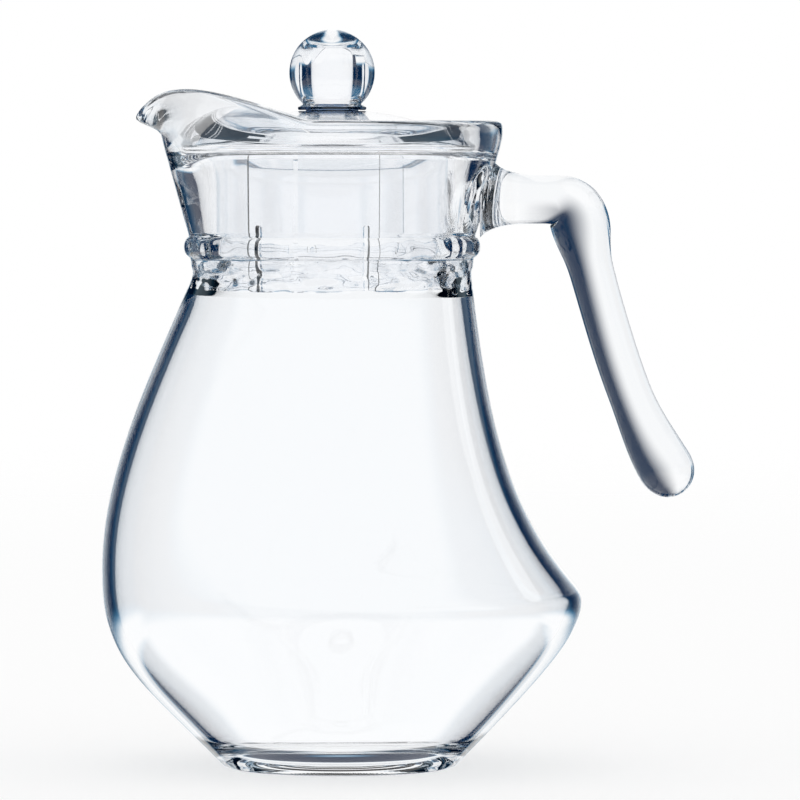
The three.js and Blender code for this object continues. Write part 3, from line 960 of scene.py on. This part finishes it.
def flow_group():
    """Slow waves and fine drift of clear surfaces, as a height and a roughness."""
    name = "clear_surface_flow"
    if name in bpy.data.node_groups:
        return bpy.data.node_groups[name]
    group, given, result = new_group(
        name, ("Wave Scale", "Rough Low", "Rough High"), ("Height", "Roughness")
    )
    place = add(group, "TexCoord")["Object"]
    wave = add(group, "TexNoise", {"Vector": place, "Scale": given["Wave Scale"], "Detail": 1.0})
    drift = add(group, "TexNoise", {"Vector": place, "Scale": DRIFT_SCALE, "Detail": 3.0})
    ends = {"To Min": given["Rough Low"], "To Max": given["Rough High"]}
    spread = add(group, "MapRange", {"Value": drift["Fac"], **ends})
    feed(group, result["Height"], wave["Fac"])
    feed(group, result["Roughness"], spread["Result"])
    return group


def painted_shade_group():
    """Mask of the press-fit joint under the knob, which lets no light through, for its painted shade:
    a dark ring of colour in place of that shade.
    """
    name = "knob_joint"
    if name in bpy.data.node_groups:
        return bpy.data.node_groups[name]
    group, given, result = new_group(name, ("Radius", "Low", "High"), ("Mask",))
    parts = place_parts(group, "Object")
    inside = calc(group, "LESS_THAN", axis_reach(group, parts), given["Radius"])
    above = calc(group, "GREATER_THAN", parts["Z"], given["Low"])
    below = calc(group, "LESS_THAN", parts["Z"], given["High"])
    feed(group, result["Mask"], times(group, above, below, inside))
    return group


def paint_joint_shade(material, tint, radius, low, high):
    """Give a clear material a ring of painted shade at the knob's joint: its base colour is darkened
    there in place of the light that the joint keeps out.
    """
    tree = material.node_tree
    ring = {"Radius": radius, "Low": low, "High": high}
    shade_mask = add(tree, "Group", ring, node_tree=painted_shade_group())["Mask"]
    # Painted shade: the dark colour takes the place of the plastic's tint inside the joint's ring.
    shade = add(tree, "Mix", {"Factor": shade_mask, 6: (*tint, 1.0), 7: PAINTED_JOINT_SHADE}, data_type="RGBA")
    feed(tree, tree.nodes["Principled BSDF"].inputs["Base Color"], shade[2])


def clear_material(name, tint, ior, wave_scale, wave_height, rough):
    """A clear solid: it bends light, and lets most of the light through to the floor."""
    material = new_material(name)
    tree = material.node_tree
    waves = {"Wave Scale": wave_scale, "Rough Low": rough[0], "Rough High": rough[1]}
    flow = add(tree, "Group", waves, node_tree=flow_group())
    slope = {"Strength": WAVE_STRENGTH, "Distance": wave_height, "Height": flow["Height"]}
    solid = {
        "Base Color": (*tint, 1.0),
        "Metallic": 0.0,
        "Roughness": flow["Roughness"],
        "IOR": ior,
        "Normal": add(tree, "Bump", slope)["Normal"],
        "Transmission Weight": 1.0,
    }
    body = add(tree, "BsdfPrincipled", solid)["BSDF"]
    passing = add(tree, "BsdfTransparent", {"Color": SHADOW_TINT})["BSDF"]
    shadow = add(tree, "LightPath")["Is Shadow Ray"]
    add(tree, "OutputMaterial", {"Surface": choose(tree, shadow, body, passing)})
    return material


def uneven_throat(material, neck):
    """Lumps on the inner wall from the lid's foot up to the bead, added to the flow's height."""
    levels = NeckLevels(neck)
    tree = material.node_tree
    place = add(tree, "TexCoord")["Object"]
    flat = add(tree, "Mapping", {"Vector": place, "Scale": (1.0, 1.0, LUMP_FLATNESS)})["Vector"]
    lumps = add(tree, "TexNoise", {"Vector": flat, "Scale": neck.lump_scale, "Detail": 1.0})
    parts = place_parts(tree, "Object")
    inner_reach = neck.throat_radius - LUMP_WALL_SHARE * neck.throat_wall
    inner = calc(tree, "LESS_THAN", axis_reach(tree, parts), inner_reach)
    height = parts["Z"]
    above = ease(tree, height, LID_FOOT - LUMP_FADE, LID_FOOT)
    band = ease(tree, height, levels.band_top + LUMP_FADE, levels.band_top)
    bead = ease(tree, height, levels.flare_bottom + LUMP_FADE, levels.flare_bottom)
    below = most(tree, band, times(tree, bead, BEAD_LUMPS))
    uneven = times(tree, lumps["Fac"], above, below, inner, neck.lump_depth)
    flow = tree.nodes["Group"].outputs["Height"]
    feed(tree, tree.nodes["Bump"].inputs["Height"], calc(tree, "ADD", flow, uneven))


def glass_material(scene):
    material = clear_material(
        "jug_glass", scene.jug_finish.glass,
        ior=1.5, wave_scale=26.0, wave_height=0.00025, rough=(0.0, 0.012),
    )
    uneven_throat(material, scene.jug_neck)
    return material


def plastic_material(name, scene):
    tint = scene.jug_finish.plastic
    at = LidLevels(scene)
    knob = scene.jug_knob
    material = clear_material(
        name, tint, ior=1.57, wave_scale=60.0, wave_height=0.0001, rough=(0.0, 0.03)
    )
    # Ring of painted shade at the joint, from partway down the spigot up to the collar's upright
    # edge.
    low = at.seat_height - PAINTED_SHADE_DEPTH * knob.spigot_length
    high = at.seat_height + knob.collar_margin + knob.collar_edge
    paint_joint_shade(material, tint, PAINTED_SHADE_SPREAD * knob.collar_radius, low, high)
    return material


def dress(piece, material):
    piece.data.materials.clear()
    piece.data.materials.append(material)


class JUG_OT_glass_vessel(bpy.types.Operator):
    """Model the jug and its applied handle as one piece of glass"""

    bl_idname = "jug.glass_vessel"
    bl_label = "Glass Vessel"

    def execute(self, context):
        scene = context.scene
        vessel = loft("glass_jug", vessel_rings(scene))
        subdivide(vessel, 1)
        rod = loft("handle_rod", handle_rings(scene))
        subdivide(rod, 1)
        boolean(vessel, rod, "UNION")
        only(vessel)
        bpy.ops.object.shade_smooth()
        dress(vessel, glass_material(scene))
        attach(vessel, "jug")
        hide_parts("jug_body", "handle")
        return {"FINISHED"}


class JUG_OT_lid_cover(bpy.types.Operator):
    """Model the domed lid with its slit skirt"""

    bl_idname = "jug.lid_cover"
    bl_label = "Lid Cover"

    def execute(self, context):
        scene = context.scene
        lid = scene.jug_lid
        sides = 2 * scene.jug_finish.round_sides
        cover = loft("clear_lid", turned_rings(sides, held(lid_profile(scene))), closed=True)
        for tongue in (-math.pi / 2, math.pi / 2):
            boolean(cover, panel_cutter(scene, tongue + lid.turn), "DIFFERENCE")
            for side in (-1, 1):
                turn = tongue + side * lid.slit_angle + lid.turn
                boolean(cover, slit_cutter(scene, turn), "DIFFERENCE")
        only(cover)
        bpy.ops.object.shade_smooth_by_angle(angle=SHARP_EDGE)
        dress(cover, plastic_material("clear_lid_moulding", scene))
        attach(cover, "lid")
        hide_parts("lid_cover")
        return {"FINISHED"}


class JUG_OT_ball_knob(bpy.types.Operator):
    """Model the cored ball knob with its collar and spigot"""

    bl_idname = "jug.ball_knob"
    bl_label = "Ball Knob"

    def execute(self, context):
        scene = context.scene
        sides = scene.jug_finish.round_sides
        knob = loft("ball_knob", turned_rings(sides, held(knob_profile(scene))))
        only(knob)
        bpy.ops.object.shade_smooth_by_angle(angle=SHARP_EDGE)
        dress(knob, plastic_material("clear_knob_moulding", scene))
        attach(knob, "knob")
        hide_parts("lid_knob")
        return {"FINISHED"}


def floor_material(radius):
    """Pale floor that fades into the white ground and keeps a soft shadow."""
    material = new_material("pale_floor")
    tree = material.node_tree
    place = add(tree, "TexCoord")["Object"]
    away = add(tree, "VectorMath", {0: place}, operation="LENGTH")["Value"]
    fade = ease(tree, away, *[share * radius for share in FLOOR_FADE])
    matt = add(tree, "BsdfDiffuse", {"Color": FLOOR_TONE})["BSDF"]
    glow = add(tree, "Emission")["Emission"]
    clear = add(tree, "BsdfTransparent")["BSDF"]
    seen = add(tree, "LightPath")["Is Camera Ray"]
    lit = choose(tree, times(tree, seen, FLOOR_GLOW), matt, glow)
    add(tree, "OutputMaterial", {"Surface": choose(tree, fade, lit, clear)})
    return material


def handle_card_material(stage):
    """Dark card with soft edges beside the handle's leg and above its arm, for single pieces."""
    material = new_material("handle_card")
    tree = material.node_tree
    at = place_parts(tree, "Object")
    across = times(tree, at["X"], math.cos(stage.flag_lean))
    along = calc(tree, "MULTIPLY_ADD", at["Z"], math.sin(stage.flag_lean), across)
    beside = ease(tree, along, stage.flag_edge, stage.flag_edge + stage.flag_soft)
    rise_end = stage.flag_rise + CARD_ARM_SOFT * stage.flag_soft
    above = times(
        tree, ease(tree, at["Z"], stage.flag_rise, rise_end), ease(tree, at["X"], *CARD_ARM_START)
    )
    crossings = add(tree, "LightPath")["Transmission Depth"]
    single = calc(tree, "LESS_THAN", crossings, PIECE_CROSSINGS)
    share = times(tree, most(tree, beside, above), single)
    clear = add(tree, "BsdfTransparent")["BSDF"]
    card = add(tree, "Emission", {"Color": (*stage.dark, 1.0)})["Emission"]
    add(tree, "OutputMaterial", {"Surface": choose(tree, share, clear, card)})
    return material


def add_handle_card(stage):
    """Stand a dark card behind the handle, out of the camera's sight."""
    left, right = CARD_ACROSS
    low, high = CARD_HEIGHT
    deselect_all()
    bpy.ops.mesh.primitive_plane_add(size=1, location=(0, 0, 0))
    card = bpy.context.object
    card.name = "handle_card"
    bpy.ops.transform.resize(value=(right - left, high - low, 1))
    bpy.ops.transform.rotate(value=math.pi / 2, orient_axis="X", center_override=(0, 0, 0))
    bpy.ops.transform.translate(value=((left + right) / 2, stage.flag_depth, (low + high) / 2))
    bpy.ops.object.transform_apply(location=True, rotation=True, scale=True)
    dress(card, handle_card_material(stage))
    card.visible_camera = False
    card.visible_diffuse = False
    card.visible_glossy = False
    card.visible_shadow = False


class StudioRay:
    """What the world knows of a ray: its direction, and the surfaces that it met."""

    def __init__(self, tree):
        parts = place_parts(tree, "Generated")
        self.depth = parts["Y"]
        self.height = parts["Z"]
        self.bearing = calc(tree, "ARCTAN2", self.depth, parts["X"])
        self.facing = calc(tree, "SINE", self.bearing)
        path = add(tree, "LightPath")
        crossings = path["Transmission Depth"]
        self.outer = calc(tree, "LESS_THAN", crossings, OUTER_CROSSINGS)
        self.single = calc(tree, "LESS_THAN", crossings, PIECE_CROSSINGS)
        self.crowded = calc(tree, "GREATER_THAN", crossings, NECK_CROSSINGS)
        self.turned_back = calc(tree, "MINIMUM", path["Glossy Depth"], 1.0)
        self.bent = most(tree, path["Is Glossy Ray"], path["Is Transmission Ray"])


def light_through(tree, ray):
    """Light that passes clear pieces: bright panels all round, with dark strips between them."""
    strips = calc(tree, "COSINE", times(tree, ray.bearing, PANEL_COUNT))
    panels = times(tree, ease(tree, strips, *PANEL_EDGE), calc(tree, "SUBTRACT", 1.0, ray.single))
    straight = calc(tree, "ABSOLUTE", ray.facing)
    sweep = ease(tree, straight, *SWEEP_EDGE)
    sweep = blend(tree, ray.crowded, sweep, ease(tree, straight, *NECK_SWEEP_EDGE))
    top = [blend(tree, ray.crowded, *ends) for ends in zip(TOP_EDGE, NECK_TOP_EDGE)]
    panels = times(tree, most(tree, panels, sweep), ease(tree, ray.height, *top))
    open_view = most(tree, panels, ease(tree, ray.height, *TABLE_EDGE))
    neck_view = times(tree, panels, ease(tree, ray.height, *NECK_TABLE_EDGE))
    through = blend(tree, ray.crowded, open_view, neck_view)
    walls = calc(tree, "SUBTRACT", calc(tree, "SUBTRACT", 1.0, ray.crowded), ray.single)
    through = most(tree, through, times(tree, walls, WALL_LIGHT))
    lift = times(tree, ray.turned_back, blend(tree, ray.crowded, MIRROR_LIFT, 0.0))
    return blend(tree, lift, through, 1.0)


def light_mirrored(tree, ray):
    """Light that a single piece mirrors: the backdrop, the table and lights round the camera."""

    def window(*edges):
        return times(tree, *[ease(tree, value, *edge) for value, edge in edges])

    depth, height, facing = ray.depth, ray.height, ray.facing
    side = window((facing, SIDE_FRONT), (facing, SIDE_BACK))
    overhead = window((height, OVERHEAD_FOOT), (depth, OVERHEAD_BACK))
    return most(
        tree,
        window((depth, BACKDROP_EDGE)),
        window((facing, RISING_SIDE), (height, RISING_FOOT)),
        window((height, LOW_FRONT_TOP), (depth, LOW_FRONT_BACK)),
        window((height, LOW_BACK_TOP), (height, LOW_BACK_FOOT), (depth, LOW_BACK_FRONT)),
        times(tree, window((height, HIGH_FOOT)), HIGH_LIGHT),
        times(tree, side, ray.outer, SIDE_LIGHT),
        times(tree, window((depth, FRONT_EDGE)), blend(tree, ray.outer, *FRONT_LIGHT)),
        times(tree, overhead, OVERHEAD_LIGHT),
    )


def studio_world(scene, stage):
    """White ground for the camera, and a bright field with dark strips for the clear pieces."""
    world = bpy.data.worlds.new("bright_field")
    scene.world = world
    world.use_nodes = True
    tree = world.node_tree
    tree.nodes.clear()
    ray = StudioRay(tree)
    mirrors = times(tree, ray.turned_back, ray.single)
    light = blend(tree, mirrors, light_through(tree, ray), light_mirrored(tree, ray))
    shade = tree.nodes.new("ShaderNodeValToRGB")
    feed(tree, shade.inputs["Fac"], light)
    stops = shade.color_ramp.elements
    stops[0].color = (*stage.dark, 1.0)
    stops[1].color = WHITE
    for share, tone in ((DEEP_STOP, stage.deep), (HALF_STOP, stage.half)):
        stops.new(share).color = (*tone, 1.0)
    clear_view = add(tree, "Background", {"Color": shade.outputs["Color"]})["Background"]
    white = add(tree, "Background", {"Color": WHITE})["Background"]
    add(tree, "OutputWorld", {"Surface": choose(tree, ray.bent, white, clear_view)})


class JUG_OT_photo_stage(bpy.types.Operator):
    """Set up the pale floor, the bright-field light and the camera"""

    bl_idname = "jug.photo_stage"
    bl_label = "Photo Stage"

    def execute(self, context):
        scene = context.scene
        stage = scene.jug_stage
        deselect_all()
        bpy.ops.mesh.primitive_circle_add(
            vertices=scene.jug_finish.round_sides, radius=stage.floor_radius, fill_type="NGON"
        )
        floor = context.object
        floor.name = "floor"
        dress(floor, floor_material(stage.floor_radius))
        floor.visible_glossy = False
        floor.visible_transmission = False
        add_handle_card(stage)
        studio_world(scene, stage)
        place = Vector((stage.aim_across, -stage.camera_distance, stage.camera_height))
        aim = Vector((stage.aim_across, 0, stage.aim_height))
        turn = (aim - place).to_track_quat("-Z", "Y").to_euler()
        bpy.ops.object.camera_add(location=place, rotation=turn)
        camera = context.object
        camera.data.lens = stage.lens
        camera.data.sensor_width = 36.0
        camera.data.clip_end = 20.0
        scene.camera = camera
        scene.view_settings.view_transform = "Standard"
        scene.cycles.max_bounces = 40
        scene.cycles.transmission_bounces = 40
        scene.cycles.glossy_bounces = 16
        scene.cycles.transparent_max_bounces = 24
        return {"FINISHED"}


class JUG_PT_jug(bpy.types.Panel):
    """Steps that build the jug"""

    bl_label = "Cold Water Jug"
    bl_idname = "JUG_PT_jug"
    bl_space_type = "VIEW_3D"
    bl_region_type = "UI"
    bl_category = "Jug"

    def draw(self, context):
        for operator in OPERATORS:
            self.layout.operator(operator.bl_idname)


SETTINGS = {
    "jug_bowl": JugBowlSettings,
    "jug_neck": JugNeckSettings,
    "jug_spout": JugSpoutSettings,
    "jug_handle": JugHandleSettings,
    "jug_lid": JugLidSettings,
    "jug_knob": JugKnobSettings,
    "jug_finish": JugFinishSettings,
    "jug_stage": JugStageSettings,
}
OPERATORS = (JUG_OT_photo_stage, JUG_OT_glass_vessel, JUG_OT_lid_cover, JUG_OT_ball_knob)


def register():
    for name, group in SETTINGS.items():
        bpy.utils.register_class(group)
        setattr(bpy.types.Scene, name, PointerProperty(type=group))
    for item in (*OPERATORS, JUG_PT_jug):
        bpy.utils.register_class(item)


def unregister():
    for item in (JUG_PT_jug, *reversed(OPERATORS)):
        bpy.utils.unregister_class(item)
    for name, group in reversed(SETTINGS.items()):
        delattr(bpy.types.Scene, name)
        bpy.utils.unregister_class(group)


def main():
    register()
    bpy.ops.jug.photo_stage()
    bpy.ops.jug.glass_vessel()
    bpy.ops.jug.lid_cover()
    bpy.ops.jug.ball_knob()


if __name__ == "__main__":
    main()
